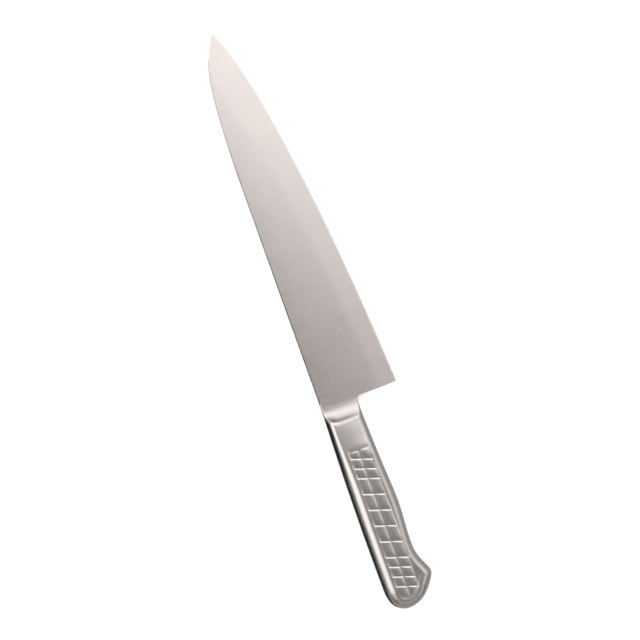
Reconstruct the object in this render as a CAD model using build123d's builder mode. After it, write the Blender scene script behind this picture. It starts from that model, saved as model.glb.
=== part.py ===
from build123d import *
from math import cos, radians, tan
import os

# An all-steel chef's knife lying on its side. The blade has a short tang that sits in a solid
# neck, and the hollow handle is two pressed half shells, welded to each other and to the neck.
# +X runs to the tip, +Y to the spine, and +Z is up.

# ---- Driving dimensions, in millimetres ----
blade_reach = 237.5        # from the knife's origin, just before the heel, to the tip
handle_reach = 134.1       # from the origin to the end of the butt
straight_spine = 145       # the spine starts to drop this far along
heel_set = -1.1            # the heel's corner, along the knife
heel_root = -1.35          # where the heel's back would meet the neck's belly
edge_slope = 0.052         # rise of the edge as it leaves the heel
heel_depth = 49.5          # spine line down to the heel corner
neck_depth = 22.9          # spine line down to the belly of the neck
tip_drop = 14.7            # how far the tip lies below the spine line
spine_thickness = 2.2      # blade at the heel, on the spine
tip_thickness = 0.6        # blade just behind the tip
heel_thickness = 0.6       # blade at the heel corner, behind its bevel
belly_thickness = 0.5      # blade where the edge starts to sweep up, behind its bevel
keen_thickness = 0.08      # what is left at the cutting edge itself
bevel_angle = 84           # lean of the sharpened bevel, from square to the blade, in degrees
heel_fillet = 2.4          # hollow corner between the neck and the back of the heel
handle_thickness = 13.0    # across both rims
handle_crown = 1.6         # how far the handle's back stands above the spine line
sheet = 1.0                # wall of the half shells
draft = 18                 # lean of the handle's sides, in degrees
shoulder_radius = 4.0      # rounding between a side and its rim
panel_depth = 0.5          # grip panel, pressed in below the rim
row_middle = -12.3         # line between the two rows of grip tiles
row_depth = 6.85           # each row, across the handle
tile_height = 0.4          # each tile above the panel
tile_gap = 0.9             # between the feet of neighbouring tiles
press_angle = 45           # lean of every pressed wall, from square to the panel
tile_lean = 18             # how far the cross gaps lean from square, in degrees
tile_front = -32.7         # front end of both rows
first_gap = -38.15         # first cross gap, on the line between the rows
short_tile = 6.25          # along the handle
long_tile = 10.2
tile_run = [short_tile] * 2 + [long_tile] * 5 + [short_tile] * 3
neck_front = -4.0          # the blade ends and the neck starts
neck_inflection = -12.0    # the neck's hollow turns into its rounding
neck_top = -16.0           # the neck reaches the full thickness of the handle
neck_back = -17.3          # the neck's shoulder, where it is welded to the shells
spigot_end = -30.0         # how far the neck reaches inside the shells
tang_end = -13.0           # how far the tang reaches inside the neck
tang_depth = 13.0
tang_thickness = 1.4
weld_width = 0.6           # every seam, ground flush
weld_depth = 0.5           # seam between the two shells

# ---- Where the knife lies: centred on its own box, with the lower rim on the ground ----
half = handle_thickness / 2
heel_x = handle_reach - (blade_reach + handle_reach) / 2
spine_y = (heel_depth - handle_crown) / 2
heel = Vector(heel_x, spine_y, half)
flat = Plane(origin=heel)                                     # middle plane, seen from above
side = Plane(origin=heel, x_dir=(1, 0, 0), z_dir=(0, -1, 0))   # long section, seen from the belly
beyond = 60                                                   # reaches past any edge of the knife
shell_front = neck_back - weld_width
panel_floor = half - panel_depth
edge_turn = (184, -30)                                        # the edge starts to sweep up here


def on_knife(x, y, z):
    """A point given from the heel, in the knife's own place."""
    return heel + Vector(x, y, z)


# ---- Outlines, all seen flat ----
def edge_line():
    """The cutting edge, drawn into the open line from the heel to the tip."""
    run = TangentArc((heel_set, -heel_depth), (99.7, -41.8), tangent=(1, edge_slope))
    belly = TangentArc(run @ 1, edge_turn, tangent=run % 1)
    rise = TangentArc(belly @ 1, (222.1, -20.7), tangent=belly % 1)
    sweep = TangentArc(rise @ 1, (blade_reach, -tip_drop), tangent=rise % 1)
    return run, sweep


with BuildSketch() as blade_outline:
    with BuildLine():
        back = Line((neck_front, 0), (straight_spine, 0))
        drop = TangentArc(back @ 1, (200.2, -2.3), tangent=back % 1)
        clip = TangentArc(drop @ 1, (224.8, -7.8), tangent=drop % 1)
        TangentArc(clip @ 1, (blade_reach, -tip_drop), tangent=clip % 1)
        edge_line()
        heel_back = ((heel_set, -heel_depth), (heel_root, -neck_depth), (neck_front, -neck_depth))
        FilletPolyline(*heel_back, radius=heel_fillet)
        Line((neck_front, -neck_depth), (neck_front, 0))
    make_face()

# All that the sharpening stone leaves standing, seen from the side that it works on.
with BuildSketch() as unsharpened:
    with BuildLine():
        run, sweep = edge_line()
        before = Line(run @ 0 - (run % 0) * beyond, run @ 0)
        after = Line(sweep @ 1, sweep @ 1 + (sweep % 1) * beyond)
        Polyline(after @ 1, (-beyond, beyond), before @ 0)
    make_face()

# The widest line of neck and handle. It runs on towards the tip, for the neck to be cut there.
with BuildSketch() as handle_outline:
    with BuildLine():
        Line((beyond, 0), (neck_front, 0))
        back = ThreePointArc((neck_front, 0), (-61, 1.43), (-119, 1.39))
        turn = TangentArc(back @ 1, (-125.9, 0.4), tangent=back % 1)
        butt = TangentArc(turn @ 1, (-131.7, -3.5), tangent=turn % 1)
        end = TangentArc(butt @ 1, (-134, -11.2), tangent=butt % 1)
        slope = TangentArc(end @ 1, (-128.3, -23.2), tangent=end % 1)
        under = TangentArc(slope @ 1, (-119.6, -29.6), tangent=slope % 1)
        beak = TangentArc(under @ 1, (-115, -29.8), tangent=under % 1)
        waist = TangentArc(beak @ 1, (-108.8, -27), tangent=beak % 1)
        hollow = TangentArc(waist @ 1, (-97.1, -24.5), tangent=waist % 1)
        palm = TangentArc(hollow @ 1, (-83.8, -25.1), tangent=hollow % 1)
        belly = TangentArc(palm @ 1, (-59.9, -25.3), tangent=palm % 1)
        throat = TangentArc(belly @ 1, (-14.7, -23.1), tangent=belly % 1)
        TangentArc(throat @ 1, (neck_front, -neck_depth), tangent=throat % 1)
        Polyline((neck_front, -neck_depth), (beyond, -neck_depth), (beyond, 0))
    make_face()

# The pressed-in grip panel, which runs into a plain corner in the beak.
with BuildSketch() as panel_outline:
    with BuildLine():
        top = Line((-20, -4.7), (-120.5, -5.1))
        shoulder = TangentArc(top @ 1, (-127.4, -11.5), tangent=top % 1)
        end = TangentArc(shoulder @ 1, (-123.4, -19.4), tangent=shoulder % 1)
        corner = Line(end @ 1, (-116.1, -26.2))
        hollow = ThreePointArc(corner @ 1, (-108.3, -21.7), (-101, -19.4))
        Polyline(hollow @ 1, (-60, -20), (-20, -17.9), (-20, -4.7))
    make_face()

# ---- Blade ----
cheek_drop = (spine_thickness - tip_thickness) / 2
cheek = Plane(
    origin=on_knife(0, 0, spine_thickness / 2),
    x_dir=(blade_reach, 0, -cheek_drop),
    z_dir=(cheek_drop, 0, blade_reach),
)
grind_top = on_knife(0, -neck_depth, spine_thickness / 2)
grind_along = on_knife(*edge_turn, belly_thickness / 2) - grind_top
grind_down = on_knife(0, -heel_depth, heel_thickness / 2) - grind_top
grind = Plane(origin=grind_top, x_dir=grind_along, z_dir=grind_down.cross(grind_along))

with BuildPart() as bevel:
    with BuildSketch(flat.offset(keen_thickness / 2)):
        add(unsharpened.sketch)
    extrude(amount=spine_thickness / 2, taper=bevel_angle)
    extrude(faces().sort_by(Axis.Z)[0], amount=keen_thickness / 2)

with BuildPart() as blade:
    with BuildSketch(flat):
        add(blade_outline.sketch)
    extrude(amount=spine_thickness / 2)
    split(bisect_by=cheek, keep=Keep.BOTTOM)
    split(bisect_by=grind, keep=Keep.BOTTOM)
    add(bevel.part, mode=Mode.INTERSECT)
    with BuildSketch(flat):
        with Locations(((neck_front + tang_end) / 2, -neck_depth / 2)):
            Rectangle(neck_front - tang_end, tang_depth)
    extrude(amount=tang_thickness / 2)
    mirror(about=flat)

# ---- Handle and neck, first as one closed outer form and one closed inner form ----
with BuildPart() as form:
    with BuildSketch(flat):
        add(handle_outline.sketch)
    extrude(amount=half, taper=draft)
    rim = faces().sort_by(Axis.Z)[-1]
    fillet(rim.edges(), radius=shoulder_radius)
    mirror(about=flat)

with BuildPart() as cavity:
    with BuildSketch(flat):
        add(handle_outline.sketch)
        offset(amount=-sheet / cos(radians(draft)), mode=Mode.REPLACE)
    extrude(amount=panel_floor - sheet, taper=draft)
    mirror(about=flat)

# ---- Neck: a hollow then a rounding, up from the blade's faces to the handle's rims ----
rise = (neck_front - neck_inflection) / (neck_front - neck_top)
blade_half = spine_thickness / 2
inflection = (neck_inflection, blade_half + (half - blade_half) * rise)
front_of_neck = Plane(origin=on_knife(neck_front - weld_width, 0, 0), z_dir=(1, 0, 0))
back_of_neck = Plane(origin=on_knife(neck_back, 0, 0), z_dir=(1, 0, 0))
front_of_shells = Plane(origin=on_knife(shell_front, 0, 0), z_dir=(1, 0, 0))
back_of_spigot = Plane(origin=on_knife(spigot_end, 0, 0), z_dir=(1, 0, 0))

with BuildPart() as neck_form:
    with BuildSketch(side):
        with BuildLine():
            up = Line((neck_front, 0), (neck_front, blade_half))
            hollow = TangentArc(up @ 1, inflection, tangent=(-1, 0))
            rounding = TangentArc(hollow @ 1, (neck_top, half), tangent=hollow % 1)
            Polyline(rounding @ 1, (neck_back, half), (neck_back, 0), (neck_front, 0))
        make_face()
    extrude(amount=beyond, both=True)
    mirror(about=flat)
    add(form.part, mode=Mode.INTERSECT)
    add(blade.part, mode=Mode.SUBTRACT)

with BuildPart() as spigot:
    add(cavity.part)
    split(bisect_by=back_of_neck, keep=Keep.BOTTOM)
    split(bisect_by=back_of_spigot, keep=Keep.TOP)

with BuildPart() as neck:
    add(neck_form.part)
    split(bisect_by=front_of_neck, keep=Keep.BOTTOM)
    add(spigot.part)

with BuildPart() as blade_weld:
    add(neck_form.part)
    split(bisect_by=front_of_neck, keep=Keep.TOP)

# ---- Welds between the handle's pieces ----
with BuildPart() as neck_weld:
    add(form.part)
    split(bisect_by=back_of_neck, keep=Keep.BOTTOM)
    split(bisect_by=front_of_shells, keep=Keep.TOP)
    add(cavity.part, mode=Mode.SUBTRACT)

with BuildPart() as seam_weld:
    add(form.part)
    split(bisect_by=front_of_shells, keep=Keep.BOTTOM)
    split(bisect_by=flat.offset(weld_width / 2), keep=Keep.BOTTOM)
    split(bisect_by=flat.offset(-weld_width / 2), keep=Keep.TOP)
    with BuildSketch(flat.offset(-half)):
        add(handle_outline.sketch)
        offset(amount=-weld_depth, mode=Mode.REPLACE)
    extrude(amount=handle_thickness, mode=Mode.SUBTRACT)

# ---- Half shells ----
with BuildSketch() as tiles:
    # The cross gaps lean towards the tip on the spine side. Only the front end is square.
    slant = tan(radians(tile_lean))
    foot = tile_gap / 2 / cos(radians(tile_lean))
    gaps = [first_gap]
    for length in tile_run:
        gaps.append(gaps[-1] - length)
    for low, high in ((-row_depth, -tile_gap / 2), (tile_gap / 2, row_depth)):
        low_y = row_middle + low
        high_y = row_middle + high
        front_back = gaps[0] + foot
        Polygon(
            (tile_front, low_y), (tile_front, high_y),
            (front_back + slant * high, high_y), (front_back + slant * low, low_y),
            align=None,
        )
        for front, back in zip(gaps, gaps[1:] + [-handle_reach]):
            Polygon(
                (front - foot + slant * low, low_y), (front - foot + slant * high, high_y),
                (back + foot + slant * high, high_y), (back + foot + slant * low, low_y),
                align=None,
            )
    add(offset(panel_outline.sketch, amount=-tile_gap, mode=Mode.PRIVATE), mode=Mode.INTERSECT)

with BuildPart() as shell_form:
    add(form.part)
    split(bisect_by=front_of_shells, keep=Keep.BOTTOM)
    split(bisect_by=flat, keep=Keep.TOP)
    with BuildSketch(flat.offset(half)):
        add(panel_outline.sketch)
    extrude(amount=-panel_depth, taper=press_angle, mode=Mode.SUBTRACT)
    with BuildSketch(flat.offset(panel_floor)):
        add(tiles.sketch)
    extrude(amount=tile_height, taper=press_angle)
    add(cavity.part, mode=Mode.SUBTRACT)
    add(seam_weld.part, mode=Mode.SUBTRACT)

with BuildPart() as handle_shell_upper:
    add(shell_form.part)

with BuildPart() as handle_shell_lower:
    add(shell_form.part)
    mirror(about=flat, mode=Mode.REPLACE)

# ---- Write one file for each piece ----
pieces = {
    "blade": blade,
    "blade_weld": blade_weld,
    "neck": neck,
    "neck_weld": neck_weld,
    "handle_shell_upper": handle_shell_upper,
    "handle_shell_lower": handle_shell_lower,
    "seam_weld": seam_weld,
}
os.makedirs("parts", exist_ok=True)
for name, piece in pieces.items():
    piece.part.label = name
    export_step(piece.part, f"parts/{name}.step")
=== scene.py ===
import math

import bmesh
import bpy
import numpy as np
from mathutils import Matrix, Vector
from mathutils.geometry import delaunay_2d_cdt


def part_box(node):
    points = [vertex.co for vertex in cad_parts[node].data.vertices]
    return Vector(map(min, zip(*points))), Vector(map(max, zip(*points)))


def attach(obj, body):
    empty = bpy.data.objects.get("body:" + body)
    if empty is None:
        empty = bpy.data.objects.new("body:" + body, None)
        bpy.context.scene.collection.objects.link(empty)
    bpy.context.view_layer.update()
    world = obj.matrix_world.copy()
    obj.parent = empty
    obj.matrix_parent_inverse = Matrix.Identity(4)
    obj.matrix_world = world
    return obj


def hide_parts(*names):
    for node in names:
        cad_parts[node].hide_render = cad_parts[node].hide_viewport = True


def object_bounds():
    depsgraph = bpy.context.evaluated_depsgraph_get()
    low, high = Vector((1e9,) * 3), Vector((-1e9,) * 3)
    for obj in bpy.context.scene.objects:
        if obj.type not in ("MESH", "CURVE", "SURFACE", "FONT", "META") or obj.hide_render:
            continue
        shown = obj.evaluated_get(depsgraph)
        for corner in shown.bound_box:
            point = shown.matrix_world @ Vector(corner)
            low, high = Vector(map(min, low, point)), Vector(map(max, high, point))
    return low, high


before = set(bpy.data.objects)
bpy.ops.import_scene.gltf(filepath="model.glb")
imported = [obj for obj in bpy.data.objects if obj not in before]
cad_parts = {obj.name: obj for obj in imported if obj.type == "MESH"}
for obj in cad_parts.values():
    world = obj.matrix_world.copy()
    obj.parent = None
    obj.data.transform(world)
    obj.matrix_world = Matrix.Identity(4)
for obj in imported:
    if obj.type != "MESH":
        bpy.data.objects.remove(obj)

cad_low, cad_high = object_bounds()

# An all-steel chef's knife lying on its side. Every mesh is worked out in millimetres from an origin on
# the spine's line above the heel, with +X to the tip, +Y past the spine and +Z up from the middle plane,
# and is then placed.

# ---- Where the knife lies, read from the frame ----
MM = 0.001
sharp_turn = math.radians(52)                # faces that meet more sharply than this show an edge
heel_set = -1.1                              # the heel's corner lies this far behind the origin
blade_points = np.array([v.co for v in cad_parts["blade"].data.vertices])
heel_corner = blade_points[blade_points[:, 1].argmin()]
half = (cad_high.z - cad_low.z) / 2 / MM
origin = np.array([heel_corner[0] - heel_set * MM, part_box("blade")[1].y, cad_low.z + half * MM])


def from_heel(value, axis):
    """A frame coordinate, in metres, as millimetres from the knife's own origin."""
    return (value - origin[axis]) / MM


blade_reach = from_heel(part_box("blade")[1].x, 0)
heel_depth = -from_heel(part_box("blade")[0].y, 1)
neck_front = from_heel(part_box("blade_weld")[1].x, 0)
neck_start = from_heel(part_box("blade_weld")[0].x, 0)
neck_back = from_heel(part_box("neck_weld")[1].x, 0)
shell_front = from_heel(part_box("neck_weld")[0].x, 0)
spigot_end = from_heel(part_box("neck")[0].x, 0)
tang_end = from_heel(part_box("blade")[0].x, 0)
seam_half = (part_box("seam_weld")[1].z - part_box("seam_weld")[0].z) / 2 / MM

# ---- Shape, in millimetres ----
straight_spine = 145.0                      # the spine starts to drop here
spine_stops = [(200.2, -2.3), (224.8, -7.8), (blade_reach, -14.7)]
edge_heading = (1.0, 0.052)
edge_stops = [(99.7, -41.8), (184.0, -30.0), (222.1, -20.7), (blade_reach, -14.7)]
neck_depth = 22.9
heel_top = (-1.35, -neck_depth)             # where the heel's back would meet the neck's belly
heel_fillet = 2.4
handle_back = [(neck_front, 0.0), (-61.0, 1.43), (-119.0, 1.39)]
handle_stops = [
    (-125.9, 0.4), (-131.7, -3.5), (-134.0, -11.2), (-128.3, -23.2), (-119.6, -29.6), (-115.0, -29.8),
    (-108.8, -27.0), (-97.1, -24.5), (-83.8, -25.1), (-59.9, -25.3), (-14.7, -23.1),
    (neck_front, -neck_depth),
]
blade_half = 1.1                            # half the spine's thickness at the heel
tip_half = 0.42                             # and at the tip
belly_thinning = 0.72                       # share of it ground away towards the edge
thinning_power = 1.7                        # how late across the blade that comes
spine_band = 12.0                           # width of the strip that falls away to the spine
spine_fall = 600.0                          # and the radius of its curve
keen_half = 0.04                            # half the thickness left at the edge
bevel_width = 0.7
bevel_rise = math.tan(math.radians(7))
bevel_fade = 0.6                            # share of its slope that the bevel loses towards the tip
bevel_blend = 0.35                          # slope of the turn above the bevel, as a share of the bevel's
spine_ease = 0.45                           # width of the spine's eased edge
ease_slope = math.tan(math.radians(56))
corner_round = 0.4                          # rounding of the heel's back, and of the spine by the neck
blade_limit = 6.0                           # the neck's finer mesh runs this far onto the blade
neck_slopes = [                             # how steep the neck's ridge is, in degrees, at each x
    (-1.0, 0.0), (-2.5, 2.2), (-4.0, 5.4), (-6.5, 13.0), (-8.5, 27.0), (-10.0, 39.0), (-11.8, 46.0),
    (-13.1, 40.0), (-13.9, 12.5), (-14.8, 6.5), (-16.0, 4.6), (-19.0, 3.4), (-24.0, 2.9), (-31.0, 2.6),
    (-34.5, 0.0),
]
lean = math.radians(18)                     # of the handle's sides
spine_shoulder = 6.9                        # rounding between the spine's side and the face
front_shoulder = 3.7                        # the same, at the neck
belly_shoulder = 4.5                        # rounding between the belly's side and the face
belly_front = 3.4                           # the same, at the neck
shoulder_grown = 60.0                       # the shoulders reach their full size this far back
shoulder_blend = (-19.0, -6.0)              # from the belly's shoulder to the spine's, across the handle
full_round = 0.69                           # a thin section's largest rounding, as a share of its height
crown_start = -6.0                          # the handle's face falls away from here to the belly
crown_radius = 130.0
crown_run = (-40.0, -24.0)                  # where along the handle that fades out
spine_reach = 1.3                           # how much further the neck's rise reaches at the spine
reach_back = (-17.0, -12.0)                 # where that fades towards the handle,
reach_front = (4.6, 9.5)                    # towards the blade, counted back from the origin,
reach_across = (2.0, 8.0)                   # and across the neck, counted from the spine
lean_reached = 12.0                         # the neck's sides have their full lean this far back
seam_round = 2.0                            # rounding along the seam
sheet = 1.0                                 # wall of the half shells
weld_depth = 0.5                            # how far the seam's weld goes in
spigot_play = 1.25                          # between the neck's spigot and the shells' walls
spigot_under = 1.6                          # its top lies this far under the handle's
spigot_step, spigot_bevel = 0.6, 2.4
spigot_side = 0.7                           # share of its height that its sides take
tang_sides = (-4.95, -17.95)
tang_half = 0.7
row_middle = -12.3                          # between the two rows of tiles
row_half = 3.4                              # half a tile's width
row_outer = -19.15                          # belly side of the second row
row_inner = -5.6                            # spine side of the first row
tile_front = -32.7
gap_lean = math.tan(math.radians(18))
first_gap = -38.15
tile_run = [6.25] * 2 + [10.2] * 5 + [6.25] * 3
tile_dome = 0.5                             # how far the tiles' sides are down, as a share of groove_depth
panel_end = [(-120.5, -5.1), (-127.4, -11.5), (-123.4, -19.4)]
beak_corner = [(-116.1, -26.2), (-108.3, -21.7), (-101.0, -19.4)]
groove_depth = 0.31
cross_groove = (1.0, 4.4, 1.0)              # share of that depth, and the widths of its two flanks
middle_groove = (0.75, 1.6, 3.6)
front_groove = (0.6, 4.0, 1.3)
outer_groove = (0.38, 1.2, 3.0)
end_groove = (1.0, 3.4, 5.5)
end_deepening = 1.3                         # how much deeper the groove round the panel's end goes
outer_start = (31.5, 33.5)                  # where that groove fades in, counted back from the origin,
outer_stop = (-123.0, -119.0)               # and out
end_start = (121.0, 127.0)                  # where the end's groove fades in, counted back as well
corner_butt, corner_belly = 4.0, 5.0        # how gently the plain corner goes down from its two sides


# ---- Lines ----
def turned(vector, angle):
    """A vector turned by an angle to the left."""
    c, s = math.cos(angle), math.sin(angle)
    return np.array([c * vector[0] - s * vector[1], s * vector[0] + c * vector[1]])


def tangent_arcs(start, heading, stops, step):
    """Points on arcs through the stops, each arc starting in the direction in which the last one ended."""
    points = [np.array(start, float)]
    heading = np.array(heading, float)
    heading /= np.linalg.norm(heading)
    for stop in stops:
        here = points[-1]
        chord = np.array(stop, float) - here
        length = np.linalg.norm(chord)
        half_turn = math.atan2(heading[0] * chord[1] - heading[1] * chord[0], heading @ chord)
        is_straight = abs(half_turn) < 1e-4
        arc = length if is_straight else length * half_turn / math.sin(half_turn)
        count = max(2, math.ceil(arc / step), math.ceil(abs(half_turn) / math.radians(3)))
        for i in range(1, count + 1):
            part = i / count
            reach = part if is_straight else math.sin(half_turn * part) / math.sin(half_turn)
            points.append(here + turned(heading, half_turn * part) * length * reach)
        heading = turned(heading, 2 * half_turn)
    return points


def heading_through(first, middle, last):
    """The direction in which the arc through three points leaves the first of them."""
    a, b, c = (np.array(p, float) for p in (first, middle, last))
    to_a, to_c = a - b, c - b
    half_turn = math.pi - abs(math.atan2(to_a[0] * to_c[1] - to_a[1] * to_c[0], to_a @ to_c))
    side = math.copysign(1, (c - a)[0] * (b - a)[1] - (c - a)[1] * (b - a)[0])
    return turned((c - a) / np.linalg.norm(c - a), side * half_turn)


def straight(start, end, step):
    """Even points from start to end, about a step apart."""
    start, end = np.array(start, float), np.array(end, float)
    count = max(1, math.ceil(np.linalg.norm(end - start) / step))
    return [start + (end - start) * i / count for i in range(count + 1)]


def distance(points, line):
    """How far each point is from a line of points."""
    line = np.array(line)
    starts, runs = line[:-1], np.diff(line, axis=0)
    best = []
    for block in np.array_split(points, len(points) // 500 + 1):
        away_x = block[:, :1] - starts[:, 0]
        away_y = block[:, 1:] - starts[:, 1]
        part = np.clip((away_x * runs[:, 0] + away_y * runs[:, 1]) / (runs**2).sum(1), 0, 1)
        squares = (away_x - part * runs[:, 0]) ** 2 + (away_y - part * runs[:, 1]) ** 2
        best.append(np.sqrt(squares.min(1)))
    return np.concatenate(best)


def inside(points, loop):
    """Whether each point is inside a closed loop."""
    x, y = np.asarray(points, float).T
    found = np.zeros(len(x), bool)
    for (x1, y1), (x2, y2) in zip(loop, loop[1:] + loop[:1]):
        if y1 != y2:
            found ^= ((y1 > y) != (y2 > y)) & (x < (x2 - x1) * (y - y1) / (y2 - y1) + x1)
    return found


def smooth(value, low, high):
    """0 below low, 1 above high, and a smooth step between."""
    t = np.clip((value - low) / (high - low), 0, 1)
    return t * t * (3 - 2 * t)


def cusp(away, groove):
    """A groove's share of the depth at its bottom, falling to 0 with a rounded shoulder at its width."""
    share, before, behind = groove
    return share * np.clip(1 - np.abs(away) / np.where(away > 0, before, behind), 0, 1) ** 2


# ---- Outlines ----
def handle_line(step=1.0):
    """The handle's widest line, from the neck's spine round the butt to the neck's belly."""
    start = handle_back[0]
    return tangent_arcs(start, heading_through(*handle_back), [handle_back[2]] + handle_stops, step)


def spine_line(step):
    """The spine, from the neck to the tip."""
    return straight((neck_front, 0), (straight_spine, 0), step) + tangent_arcs(
        (straight_spine, 0), (1, 0), spine_stops, step
    )[1:]


def edge_line(step):
    """The cutting edge, from the heel's corner to the tip."""
    return tangent_arcs((heel_set, -heel_depth), edge_heading, edge_stops, step)


def heel_line(step):
    """The back of the heel, up from its corner and round the fillet to the neck."""
    up = np.array(heel_top) - np.array((heel_set, -heel_depth))
    up /= np.linalg.norm(up)
    turn = math.atan2(up[1], up[0]) - math.pi
    setback = heel_fillet * math.tan(abs(turn) / 2)
    fillet_start = np.array(heel_top) - up * setback
    fillet = tangent_arcs(fillet_start, up, [(heel_top[0] - setback, -neck_depth)], step)
    rest = straight(fillet[-1], (neck_front, -neck_depth), step)[1:]
    return straight((heel_set, -heel_depth), fillet_start, step)[:-1] + fillet + rest


# ---- Heights of the upper surface over the middle plane ----
def crest(x):
    """The ridge of the neck and handle: up from the blade in a hollow, then rounding over."""
    fine = np.linspace(neck_slopes[-1][0], neck_slopes[0][0], 600)
    places, slopes = zip(*reversed(neck_slopes))
    climb = np.tan(np.radians(np.interp(fine, places, slopes)))
    rise = np.concatenate([[0], np.cumsum((climb[1:] + climb[:-1]) / 2 * np.diff(fine))])
    rise = 1 - rise / rise[-1]
    return blade_half + (half - blade_half) * np.interp(x, fine, rise)


def side_profile(top, tilt, round_top, round_seam):
    """Ends of the straight side and centre of its shoulder, as distances in from the outline and heights."""
    seam_in, seam_up = round_seam * (1 - np.cos(tilt)), round_seam * np.sin(tilt)
    side_up = top - round_top * (1 - np.sin(tilt))
    side_in = seam_in + (side_up - seam_up) * np.tan(tilt)
    return seam_in, seam_up, side_in, side_up, side_in + round_top * np.cos(tilt)


def rounded(top, depth_in, shoulder):
    """Height of the handle's bare form, depth_in from its outline, under a face at top."""
    seam_in, seam_up, side_in, _, centre = side_profile(top, lean, shoulder, seam_round)
    near_seam = np.sqrt(np.clip(seam_round**2 - (seam_round - depth_in) ** 2, 0, None))
    side = seam_up + (depth_in - seam_in) / np.tan(lean)
    across = np.clip(centre - depth_in, 0, None)
    over = top - shoulder + np.sqrt(np.clip(shoulder**2 - across**2, 0, None))
    return np.where(depth_in < seam_in, near_seam, np.where(depth_in < side_in, side, over))


def grooves(points):
    """How far the grip's grooves and plain corner are pressed in, as a share of groove_depth."""
    x, y = points.T
    end_line = tangent_arcs(panel_end[0], (-1, -0.02), panel_end[1:], 0.4)
    butt_side = straight(end_line[-1], beak_corner[0], 1.0)
    belly_side = tangent_arcs(beak_corner[0], heading_through(*beak_corner), [beak_corner[2]], 0.4)
    front_corners = [np.array((tile_front, row_outer)), np.array((tile_front, row_inner))]
    in_panel = inside(points, end_line + butt_side[1:] + belly_side[1:] + front_corners)
    square = math.cos(math.atan(gap_lean))
    along = (x - gap_lean * (y - row_middle)) * square
    across = np.zeros(len(x))
    gap = first_gap
    for length in [0] + tile_run:
        gap -= length
        across = np.maximum(across, cusp(along - gap * square, cross_groove))
    rows = smooth(y, row_outer - 0.7, row_outer) * smooth(-y, -row_inner, 1.3 - row_inner) * in_panel
    across *= rows
    middle = cusp(y - row_middle + 0.2, middle_groove) * in_panel
    middle *= smooth(-x, -tile_front - 0.2, -tile_front + 0.9)
    front = cusp(x - tile_front, front_groove)
    front *= smooth(y, row_outer - 1.2, row_outer) * smooth(-y, -row_inner, 1.5 - row_inner)
    outer = cusp(y - row_outer + 0.3, outer_groove) * smooth(-x, *outer_start) * smooth(x, *outer_stop)
    end = cusp(distance(points, end_line) * np.where(in_panel, 1, -1), end_groove)
    end *= smooth(-x, *end_start)
    floor = smooth(distance(points, butt_side), 0.0, corner_butt)
    floor *= smooth(distance(points, belly_side), 0.0, corner_belly)
    floor *= in_panel * smooth(-y, -row_outer - 0.3, 0.3 - row_outer)
    domed = tile_dome * np.minimum(np.abs(y - row_middle) / row_half - 1, 1) ** 2 * rows
    open_part = 1.0
    for pressed in (domed, across, middle, front, outer, end, floor):
        open_part = open_part * (1 - pressed)
    return 1 - open_part + end_deepening * end


def shoulder_at(x, y):
    """The shoulder's radius, which is larger on the spine's side and grows away from the neck."""
    grown = smooth(-x, -shell_front, shoulder_grown)
    spine = front_shoulder + (spine_shoulder - front_shoulder) * grown
    belly = belly_front + (belly_shoulder - belly_front) * grown
    return belly + (spine - belly) * smooth(y, *shoulder_blend)


def crowned(x, y):
    """How far the handle's face has fallen away towards the belly."""
    return np.clip(crown_start - y, 0, None) ** 2 / (2 * crown_radius) * smooth(x, *crown_run)


def handle_height(points):
    """The handle's upper surface."""
    x, y = points.T
    depth_in = distance(points, wide_handle_line) * np.where(inside(points, wide_handle_line), 1, -1)
    face = crest(x) - crowned(x, y)
    return rounded(face, depth_in, shoulder_at(x, y)) - groove_depth * grooves(points)


def blade_height(points):
    """The blade's upper surface."""
    x = points[:, 0]
    spine, edge, back = spine_line(1.0), edge_line(1.0), heel_line(0.5)
    from_spine, from_edge = distance(points, spine), distance(points, edge)
    from_back = distance(points, back)
    share = from_spine / (from_spine + from_edge + 1e-9)
    thick = blade_half + (tip_half - blade_half) * np.clip(x / blade_reach, 0, 1)
    body = thick * (1 - belly_thinning * share**thinning_power) + (crest(x) - blade_half)
    fallen = np.clip(spine_band - from_spine, 0, None) ** 2 / (2 * spine_fall)
    body = body - fallen * smooth(x, neck_front, 4.0)
    rise = bevel_rise * (1 - bevel_fade * np.clip(x / blade_reach, 0, 1))
    bevel_top = keen_half + bevel_width * rise
    body = np.where(from_edge < bevel_width, np.minimum(body, keen_half + from_edge * rise), body)
    body = np.minimum(body, bevel_top + np.clip(from_edge - bevel_width, 0, None) * bevel_blend * rise)
    eased = np.clip(spine_ease - from_spine, 0, None) * ease_slope * (x > 0)
    near = np.where(x > 0, from_back, np.minimum(from_spine, from_back))
    round_here = np.minimum(round_at(x), body * 0.9)
    gone = round_here - np.sqrt(np.clip(round_here**2 - np.clip(round_here - near, 0, None) ** 2, 0, None))
    return body - np.maximum(gone, np.minimum(eased, body * 0.85))


def round_at(x):
    """Rounding of the blade's corners, which grows into the neck's shoulders."""
    return corner_round + (full_round * crest(neck_front) - corner_round) * smooth(-x, 1.0, -neck_front)


# ---- Meshes ----
def place(points):
    """Points in the frame's metres."""
    return np.asarray(points, float) * MM + origin


def piece(name, points, faces, node, material):
    """A smooth closed mesh that stands for a CAD node."""
    mesh = bpy.data.meshes.new(name)
    mesh.from_pydata(place(points).tolist(), [], [list(map(int, f)) for f in faces])
    mesh.validate()
    obj = bpy.data.objects.new(name, mesh)
    bpy.context.scene.collection.objects.link(obj)
    tidy(mesh)
    mesh.shade_smooth()
    mesh.set_sharp_from_angle(angle=sharp_turn)
    mesh.materials.append(material)
    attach(obj, "root")
    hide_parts(node)


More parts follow.
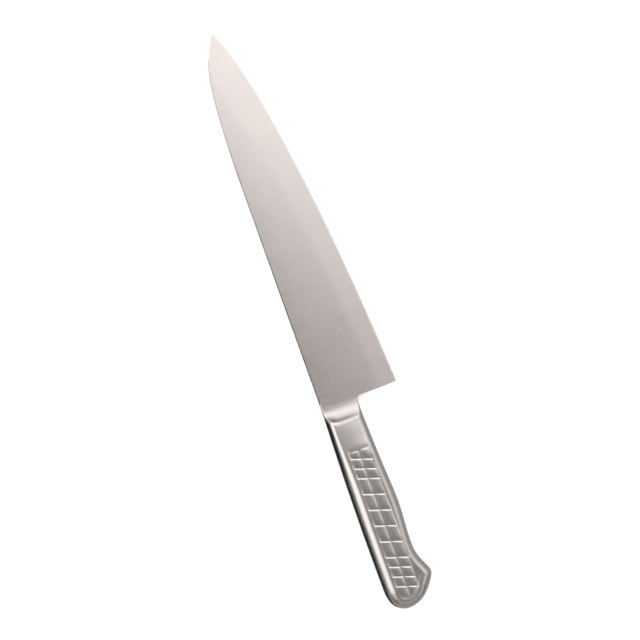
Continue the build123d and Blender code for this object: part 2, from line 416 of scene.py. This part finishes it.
def tidy(mesh):
    """Joins points that fall together and turns every face outwards."""
    made = bmesh.new()
    made.from_mesh(mesh)
    bmesh.ops.remove_doubles(made, verts=made.verts, dist=2e-6)
    bmesh.ops.dissolve_degenerate(made, edges=made.edges, dist=1e-7)
    bmesh.ops.recalc_face_normals(made, faces=made.faces)
    made.to_mesh(mesh)
    made.free()


def triangulated(loop, points, lines=()):
    """Flat triangles inside a closed loop, through the given points and along the given lines."""
    corners = [Vector(p) for p in loop]
    edges = [(i, (i + 1) % len(loop)) for i in range(len(loop))]
    corners += [Vector(p) for p in points]
    for line in lines:
        first = len(corners)
        corners += [Vector(p) for p in line]
        edges += [(first + i, first + i + 1) for i in range(len(line) - 1)]
    flat, _, faces, *_ = delaunay_2d_cdt(corners, edges, [], 0, 1e-4, False)
    flat = np.array([tuple(p) for p in flat])
    kept = inside(flat[np.array(faces)].mean(1), loop)
    return flat, [tuple(f) for f, k in zip(faces, kept) if k]


def rim_edges(faces):
    """The edges that only one face has, in that face's direction."""
    seen = {}
    for face in faces:
        for a, b in zip(face, face[1:] + face[:1]):
            seen[(a, b)] = True
    return [e for e in seen if (e[1], e[0]) not in seen]


def closed(upper, lower, faces):
    """A solid between two surfaces that share one set of faces."""
    count = len(upper)
    points = np.vstack([upper, lower])
    solid = list(faces) + [tuple(count + i for i in reversed(f)) for f in faces]
    solid += [(b, a, count + a, count + b) for a, b in rim_edges(faces)]
    return points, solid


def slopes_of(height, points, step=0.02):
    """Unit normals of a height function."""
    dx, dy = np.array([step, 0]), np.array([0, step])
    fall_x = (height(points + dx) - height(points - dx)) / (2 * step)
    fall_y = (height(points + dy) - height(points - dy)) / (2 * step)
    normals = np.column_stack([-fall_x, -fall_y, np.ones(len(points))])
    return normals / np.linalg.norm(normals, axis=1)[:, None]


def inward(line, depth_in, keep_from, slack=0.02):
    """Points of a line moved to its left side, where nothing of keep_from is nearer."""
    line = np.array(line)
    ahead = np.gradient(line, axis=0)
    ahead /= np.linalg.norm(ahead, axis=1)[:, None]
    moved = line + np.column_stack([-ahead[:, 1], ahead[:, 0]]) * depth_in
    return moved[distance(moved, keep_from) > depth_in - slack]


def ring_depths():
    """Distances in from the outline that suit the shoulder's curve."""
    seam_in, _, side_in, _, centre = side_profile(half, lean, spine_shoulder, seam_round)
    over = [centre - spine_shoulder * math.sin(math.radians(a)) for a in range(67, -1, -5)]
    return [seam_in * 0.4, seam_in, (seam_in + side_in) / 2, side_in] + over


def spread(marks, offsets, low, high, step):
    """Places from low to high: at each mark and its offsets, and evenly in the gaps that are left."""
    fixed = sorted({round(m + o, 4) for m in marks for o in offsets if low < m + o < high} | {low, high})
    places = [fixed[0]]
    for mark in fixed[1:]:
        gap = mark - places[-1]
        if gap < 0.05:
            continue
        count = max(1, math.ceil(gap / step))
        places += [places[-1] + gap * i / count for i in range(1, count + 1)]
    return places


# ---- Shells ----
# The handle's outline, with both of its ends run on past the neck, so that nothing near the neck is
# taken for close to an end.
wide_handle_line = [np.array((60.0, 0.0))] + handle_line(0.7) + [np.array((60.0, -neck_depth))]


def shell_surface():
    """The upper shell's outer surface, seen flat, as triangles that follow its grooves."""
    round_line = [p for p in handle_line() if p[0] < shell_front - 0.4]
    ends = handle_sides(shell_front)
    depths = ring_depths()
    front = [ends[1] + d for d in depths]
    front += list(np.linspace(ends[1] + depths[-1], ends[0] - depths[-1], 18))[1:-1]
    front += [ends[0] - d for d in reversed(depths)]
    front_edge = [np.array((shell_front, y)) for y in [ends[1]] + front]
    loop = [np.array((shell_front, ends[0]))] + round_line + front_edge
    points = []
    for depth_in in depths:
        ring = inward(wide_handle_line, depth_in, wide_handle_line)
        points += [p for p in ring if p[0] < shell_front - 0.3]
    # A net of lines along the rows and the gaps, which is closer where a groove is.
    near = [0, 0.12, 0.3, 0.55, 0.85, 1.2, 1.65, 2.3]
    near = [-n for n in near] + near
    gaps = [first_gap - sum(tile_run[:i]) for i in range(len(tile_run) + 1)]
    marks = gaps + [tile_front]
    ys = spread([row_middle, row_outer], near, -20.8, -4.0, 0.6)
    us = spread(marks, near, -131.0, -19.0, 1.3)
    inner = depths[-1] - 1.6
    net = np.array([[(u + gap_lean * (y - row_middle), y) for y in ys] for u in us])
    kept = []
    for line in list(net) + list(net.transpose(1, 0, 2)):
        fits = (distance(line, wide_handle_line) > inner) & (line[:, 0] < shell_front - 0.5)
        fits &= inside(line, loop)
        run = []
        for p, ok in zip(line, fits):
            if ok:
                run.append(p)
            elif run:
                kept.append(run)
                run = []
        if run:
            kept.append(run)
    # A finer grid in the corner of the beak, which the rows and gaps don't reach.
    beak = np.array([(x, y) for x in np.arange(-127.0, -98.0, 0.8) for y in np.arange(-26.0, -20.5, 0.8)])
    beak = beak[(distance(beak, wide_handle_line) > inner) & inside(beak, loop)]
    points += list(beak)
    return triangulated(loop, points, [k for k in kept if len(k) > 1])


def make_shells(material):
    """The two half shells, which mirror each other."""
    flat, faces = shell_surface()
    outer = np.column_stack([flat, np.maximum(handle_height(flat), seam_half)])
    inner = outer - slopes_of(handle_height, flat) * sheet
    inner[:, 2] = np.maximum(inner[:, 2], seam_half)
    inner[:, 0] = np.minimum(inner[:, 0], shell_front)
    points, solid = closed(outer, inner, faces)
    piece("upper_shell", points, solid, "handle_shell_upper", material)
    piece("lower_shell", points * (1, 1, -1), solid, "handle_shell_lower", material)


# ---- Lofted pieces ----
def handle_sides(x):
    """Where the outline's spine and belly are at x."""
    front = [p for p in handle_line() if p[0] > -60]
    sides = [sorted(tuple(p) for p in front if (p[1] > -10) == spine) for spine in (True, False)]
    return [float(np.interp(x, *zip(*side))) for side in sides]


def section(x):
    """Half of the neck's closed section at x, above the middle plane, from the spine to the belly."""
    top = float(crest(x))
    reach = spine_reach * float(smooth(x, *reach_back) * smooth(-x, *reach_front))
    spine_top = float(crest(x - reach))
    tilt = lean * float(smooth(-x, -neck_front, lean_reached))
    round_seam = min(seam_round, 0.5 * top)

    def profile(top, shoulder):
        round_top = min(shoulder, full_round * top)
        seam_in, seam_up, side_in, side_up, centre = side_profile(top, tilt, round_top, round_seam)
        seam = [tilt * i / 3 for i in range(4)]
        made = [(round_seam * (1 - math.cos(a)), round_seam * math.sin(a)) for a in seam]
        made += [(side_in * k + seam_in * (1 - k), side_up * k + seam_up * (1 - k)) for k in (0.5, 1.0)]
        over = [(math.pi / 2 - tilt) * (1 - i / 14) for i in range(1, 15)]
        made += [(centre - round_top * math.sin(a), top - round_top * (1 - math.cos(a))) for a in over]
        return made

    spine, belly = handle_sides(x)
    spine_rows = [(spine - d, z) for d, z in profile(spine_top, front_shoulder)]
    belly_rows = [(belly + d, z) for d, z in reversed(profile(top, belly_front))]
    between = np.linspace(spine_rows[-1][0], belly_rows[0][0], 22)[1:-1]
    blend = 1 - smooth(-between, *reach_across)
    rows = spine_rows + list(zip(between, top + (spine_top - top) * blend)) + belly_rows
    fade = float(smooth(-x, 8.0, 16.0))
    return [(y, z - crowned(x, y) * np.clip(z / top, 0, 1) * fade) for y, z in rows]


def lofted(stations, shape):
    """A closed solid through sections of equal count, capped at both ends."""
    rings = [[(x, y, z) for y, z in shape(x)] for x in stations]
    count = len(rings[0])
    points = np.array([p for ring in rings for p in ring])
    faces = []
    for i in range(len(rings) - 1):
        for j in range(count):
            k = (j + 1) % count
            faces.append((i * count + j, i * count + k, (i + 1) * count + k, (i + 1) * count + j))
    faces.append(tuple(range(count - 1, -1, -1)))
    faces.append(tuple((len(rings) - 1) * count + j for j in range(count)))
    return points, faces


def whole_section(x):
    """The section above and below the middle plane, as one loop."""
    upper = section(x)
    return upper + [(y, -z) for y, z in reversed(upper)]


def make_neck(material):
    """The neck, with the spigot that goes into the shells."""
    stations = list(np.linspace(neck_start, neck_back, 44))
    points, faces = lofted(stations, whole_section)
    inset = sheet / math.cos(lean) + spigot_play
    spine, belly = handle_sides(neck_back)
    top, low, tall = spine - inset, belly + inset, half - spigot_under
    above = [(top, 0.0), (top - spigot_step, tall * spigot_side), (top - spigot_bevel, tall)]
    above += [(low + spigot_bevel, tall), (low + spigot_step, tall * spigot_side), (low, 0.0)]
    around = above + [(y, -z) for y, z in reversed(above[1:-1])]
    spigot, spigot_faces = lofted([neck_back, spigot_end], lambda x: around)
    faces += [tuple(len(points) + i for i in f) for f in spigot_faces]
    piece("neck_block", np.vstack([points, spigot]), faces, "neck", material)


def make_blade_weld(material):
    """The ground seam between the blade and the neck."""
    points, faces = lofted([neck_front, (neck_front + neck_start) / 2, neck_start], whole_section)
    piece("blade_seam", points, faces, "blade_weld", material)


def make_neck_weld(material):
    """A ring between the neck and the shells, as thick as the shells' wall."""
    stations = [neck_back, (neck_back + shell_front) / 2, shell_front]
    outer = [np.array([(x, y, z) for y, z in whole_section(x)]) for x in stations]
    centre = outer[0][:, 1:].mean(0)
    count = len(outer[0])
    faces, inner = [], []
    for loop in outer:
        small = loop.copy()
        ahead = np.roll(loop, -1, 0) - np.roll(loop, 1, 0)
        sideways = np.column_stack([ahead[:, 2], -ahead[:, 1]])
        sideways /= np.linalg.norm(sideways, axis=1)[:, None] + 1e-12
        flip = np.sign(((centre - loop[:, 1:]) * sideways).sum(1))
        small[:, 1:] += sideways * flip[:, None] * sheet
        inner.append(small)
    layers = outer + inner[::-1]
    points = np.vstack(layers)
    total = len(layers)
    for i in range(total):
        n = (i + 1) % total
        for j in range(count):
            k = (j + 1) % count
            faces.append((i * count + j, i * count + k, n * count + k, n * count + j))
    piece("neck_seam", points, faces, "neck_weld", material)


def make_seam(material):
    """The band along the handle's outline, between the shells."""
    spine_end, belly_end = handle_sides(shell_front)
    kept = [(shell_front, spine_end)] + [p for p in handle_line() if p[0] < shell_front - 0.4]
    kept = np.array(kept + [(shell_front, belly_end)])
    ahead = np.gradient(kept, axis=0)
    ahead /= np.linalg.norm(ahead, axis=1)[:, None]
    into = np.column_stack([-ahead[:, 1], ahead[:, 0]])
    rows = [(0.0, 0.0), (0.0, seam_half), (weld_depth, seam_half)]
    rows += [(depth_in, -z) for depth_in, z in reversed(rows[1:])]
    points = np.vstack([np.column_stack([kept + into * d, np.full(len(kept), z)]) for d, z in rows])
    count, faces = len(kept), []
    for r in range(len(rows)):
        n = (r + 1) % len(rows)
        for j in range(count - 1):
            faces.append((r * count + j, r * count + j + 1, n * count + j + 1, n * count + j))
    faces.append(tuple(r * count for r in range(len(rows))))
    faces.append(tuple(r * count + count - 1 for r in reversed(range(len(rows)))))
    piece("handle_seam", points, faces, "seam_weld", material)


# ---- Blade ----
def make_blade(material):
    """The blade, as one surface and its mirror, and the tang inside the neck."""
    spine, edge, back = spine_line(1.2), edge_line(1.2), heel_line(0.6)
    mouth = straight((neck_front, -neck_depth), (neck_front, 0), 1.0)[1:-1]
    loop = edge[:-1] + list(reversed(spine)) + list(reversed(mouth)) + list(reversed(back))[:-1]
    loop_array = np.array(loop)
    # Rows of points that follow the spine, the heel's back and the bevel, and then an even grid.
    points = []
    for depth_in in (0.04, 0.12, 0.25, 0.45, 0.6):
        points += list(inward(list(reversed(spine)), depth_in, loop_array[: len(edge) + len(spine)]))
        points += list(inward(back[::-1], depth_in, np.array(edge[:30] + back)))
    for depth_in in (0.4, bevel_width, bevel_width + 0.25, 2.0):
        points += list(inward(edge, depth_in, np.array(edge + spine[-2::-1])))
    ys = np.arange(-heel_depth + 0.9, -0.6, 1.6)
    xs = list(np.arange(neck_front + 0.4, blade_limit, 0.5))
    xs += list(np.arange(blade_limit + 0.5, blade_reach, 2.2))
    grid = np.array([(x, y) for x in xs for y in ys])
    around = np.array(loop + loop[:1])
    points += list(grid[inside(grid, loop) & (distance(grid, around) > 1.2)])
    points = np.array(points)
    flat, faces = triangulated(loop, points[inside(points, loop)])
    height = blade_height(flat)
    upper = np.column_stack([flat, height])
    points, solid = closed(upper, upper * (1, 1, -1), faces)
    upper_tang, lower_tang = tang_sides
    tang = [(upper_tang, -tang_half), (upper_tang, tang_half)]
    tang += [(lower_tang, tang_half), (lower_tang, -tang_half)]
    tang_points, tang_faces = lofted([neck_front + 0.3, tang_end], lambda x: tang)
    solid += [tuple(len(points) + i for i in f) for f in tang_faces]
    piece("chef_blade", np.vstack([points, tang_points]), solid, "blade", material)


# ---- Materials ----
def nodes_of(name):
    """A new material with no nodes yet."""
    material = bpy.data.materials.new(name)
    material.use_nodes = True
    tree = material.node_tree
    tree.nodes.clear()
    return material, tree.nodes, tree.links


def steel(name, colour, warm, roughness, grain, grain_depth, streak):
    """Satin steel that varies between two colours. grain is how fine its scratches are along X, Y and Z,
    in lines per metre, grain_depth their depth in metres, and streak how much some are darker.
    """
    material, nodes, links = nodes_of(name)
    out = nodes.new("ShaderNodeOutputMaterial")
    shader = nodes.new("ShaderNodeBsdfPrincipled")
    shader.inputs["Metallic"].default_value = 1.0
    links.new(shader.outputs[0], out.inputs[0])
    place_of = nodes.new("ShaderNodeTexCoord")

    def noise(scale, detail, mapped=(1, 1, 1)):
        stretch = nodes.new("ShaderNodeMapping")
        stretch.inputs["Scale"].default_value = mapped
        links.new(place_of.outputs["Object"], stretch.inputs[0])
        texture = nodes.new("ShaderNodeTexNoise")
        texture.inputs["Scale"].default_value = scale
        texture.inputs["Detail"].default_value = detail
        links.new(stretch.outputs[0], texture.inputs["Vector"])
        return texture.outputs["Fac"]

    def ranged(value, low, high):
        mapped = nodes.new("ShaderNodeMapRange")
        mapped.inputs["From Min"].default_value = 0.3
        mapped.inputs["From Max"].default_value = 0.7
        mapped.inputs["To Min"].default_value = low
        mapped.inputs["To Max"].default_value = high
        links.new(value, mapped.inputs["Value"])
        return mapped.outputs["Result"]

    fine = noise(1.0, 2.0, grain)
    broad = noise(1.0, 3.0, tuple(g * 0.12 for g in grain))
    patches = noise(70.0, 2.0)
    tint = nodes.new("ShaderNodeMix")
    tint.data_type = "RGBA"
    tint.inputs["A"].default_value = (*colour, 1)
    tint.inputs["B"].default_value = (*warm, 1)
    links.new(ranged(patches, 0.0, 1.0), tint.inputs["Factor"])
    shade = nodes.new("ShaderNodeMix")
    shade.data_type = "RGBA"
    shade.blend_type = "MULTIPLY"
    shade.inputs["Factor"].default_value = 1.0
    links.new(tint.outputs["Result"], shade.inputs["A"])
    links.new(ranged(broad, 1 - streak, 1.0), shade.inputs["B"])
    links.new(shade.outputs["Result"], shader.inputs["Base Color"])
    links.new(ranged(fine, roughness - 0.03, roughness + 0.03), shader.inputs["Roughness"])
    bump = nodes.new("ShaderNodeBump")
    bump.inputs["Strength"].default_value = 1.0
    bump.inputs["Distance"].default_value = grain_depth
    links.new(fine, bump.inputs["Height"])
    links.new(bump.outputs[0], shader.inputs["Normal"])
    return material


def plain(name, colour):
    """Matt paint, for the studio's floor."""
    material, nodes, links = nodes_of(name)
    out = nodes.new("ShaderNodeOutputMaterial")
    shader = nodes.new("ShaderNodeBsdfDiffuse")
    shader.inputs["Color"].default_value = (*colour, 1)
    links.new(shader.outputs[0], out.inputs[0])
    return material


def glowing(name, level):
    """An even glow, for the studio's cards."""
    material, nodes, links = nodes_of(name)
    out = nodes.new("ShaderNodeOutputMaterial")
    shader = nodes.new("ShaderNodeEmission")
    shader.inputs["Color"].default_value = (1, 0.99, 0.97, 1)
    shader.inputs["Strength"].default_value = level
    links.new(shader.outputs[0], out.inputs[0])
    return material


# ---- Studio ----
def sheet_of(name, low, high, z, material):
    """A flat rectangle of the studio."""
    mesh = bpy.data.meshes.new(name)
    corners = [(low[0], low[1], z), (high[0], low[1], z), (high[0], high[1], z), (low[0], high[1], z)]
    mesh.from_pydata(corners, [], [(0, 1, 2, 3)])
    mesh.materials.append(material)
    obj = bpy.data.objects.new(name, mesh)
    bpy.context.scene.collection.objects.link(obj)
    return obj


def card(name, low, high, rise, level):
    """A card that only the steel sees, which lies rise millimetres over the floor."""
    obj = sheet_of(name, low, high, cad_low.z + rise * MM, glowing(name, level))
    obj.visible_camera = False
    obj.visible_diffuse = False
    obj.visible_shadow = False


def softbox(name, tilt, azimuth, reach, size, level, seen=True):
    """An area light aimed at the knife. tilt is from straight up, azimuth from +X, both in degrees."""
    light = bpy.data.lights.new(name, "AREA")
    light.shape = "RECTANGLE"
    light.size, light.size_y = size
    light.energy = level * math.pi * size[0] * size[1]
    light.color = (1.0, 0.995, 0.985)
    obj = bpy.data.objects.new(name, light)
    bpy.context.scene.collection.objects.link(obj)
    t, a = math.radians(tilt), math.radians(azimuth)
    away = Vector((math.sin(t) * math.cos(a), math.sin(t) * math.sin(a), math.cos(t)))
    middle = Vector(((cad_low.x + cad_high.x) / 2, (cad_low.y + cad_high.y) / 2, cad_high.z))
    obj.location = middle + away * reach
    obj.rotation_mode = "QUATERNION"
    obj.rotation_quaternion = away.to_track_quat("Z", "Y")
    obj.visible_camera = False
    obj.visible_glossy = seen


def make_studio():
    """The floor, the lights, the two cards, and a background that is white only to the camera."""
    sheet_of("floor", (-1.3, -1.3), (1.3, 1.3), cad_low.z, plain("pale_floor", (0.93, 0.93, 0.93)))
    softbox("tip_box", 38, -18, 1.5, (1.8, 1.75), 1.3)
    softbox("spine_box", 42, 74, 1.5, (2.0, 1.45), 1.78)
    softbox("belly_box", 44, -90, 1.5, (2.2, 1.8), 0.74)
    softbox("butt_box", 56, 180, 1.5, (1.8, 1.2), 0.36)
    softbox("floor_fill", 0, 0, 1.4, (2.5, 2.5), 1.9, seen=False)
    spine_edge = cad_high.y - 4 * MM
    black_low, black_high = (cad_low.x - 0.002, spine_edge), (cad_high.x + 0.05, spine_edge + 0.2)
    card("black_card", black_low, black_high, 0.03, 0.02)
    grey_low, grey_high = (cad_low.x - 0.25, cad_low.y - 0.25), (cad_high.x + 0.1, spine_edge + 0.25)
    card("grey_card", grey_low, grey_high, 0.02, 0.45)
    world = bpy.data.worlds.new("studio")
    bpy.context.scene.world = world
    world.use_nodes = True
    tree = world.node_tree
    tree.nodes.clear()
    out = tree.nodes.new("ShaderNodeOutputWorld")
    seen = tree.nodes.new("ShaderNodeBackground")
    seen.inputs[0].default_value = (1, 1, 1, 1)
    felt = tree.nodes.new("ShaderNodeBackground")
    felt.inputs[0].default_value = (0.145, 0.145, 0.145, 1)
    mix = tree.nodes.new("ShaderNodeMixShader")
    path = tree.nodes.new("ShaderNodeLightPath")
    tree.links.new(path.outputs["Is Camera Ray"], mix.inputs[0])
    tree.links.new(felt.outputs[0], mix.inputs[1])
    tree.links.new(seen.outputs[0], mix.inputs[2])
    tree.links.new(mix.outputs[0], out.inputs[0])


def make_camera():
    """Nearly overhead, tipped towards the spine's side, with the tip at the top of the picture."""
    data = bpy.data.cameras.new("camera")
    reach, seen_width = 1.5, 0.391
    data.lens = data.sensor_width * reach / seen_width
    camera = bpy.data.objects.new("camera", data)
    bpy.context.scene.collection.objects.link(camera)
    target = Vector((-0.0020, 0.0061, origin[2]))
    tip = math.radians(5.5)
    back = Vector((0, math.sin(tip), math.cos(tip)))
    up = Vector((0.941, -0.339, 0))
    up = (up - back * up.dot(back)).normalized()
    right = up.cross(back)
    turn = Matrix((right, up, back)).transposed().to_4x4()
    camera.matrix_world = Matrix.Translation(target + back * reach) @ turn
    bpy.context.scene.camera = camera


# ---- Everything ----
bpy.context.scene.view_settings.view_transform = "Standard"
blade_steel = steel(
    "satin_blade", (0.63, 0.585, 0.57), (0.66, 0.60, 0.58), roughness=0.30,
    grain=(5200, 60, 60), grain_depth=1e-6, streak=0.01,
)
handle_steel = steel(
    "satin_handle", (0.572, 0.543, 0.525), (0.597, 0.56, 0.54), roughness=0.31,
    grain=(1800, 1800, 1800), grain_depth=3e-6, streak=0.02,
)
make_camera()
make_studio()
make_blade(blade_steel)
make_blade_weld(handle_steel)
make_neck(handle_steel)
make_neck_weld(handle_steel)
make_shells(handle_steel)
make_seam(handle_steel)
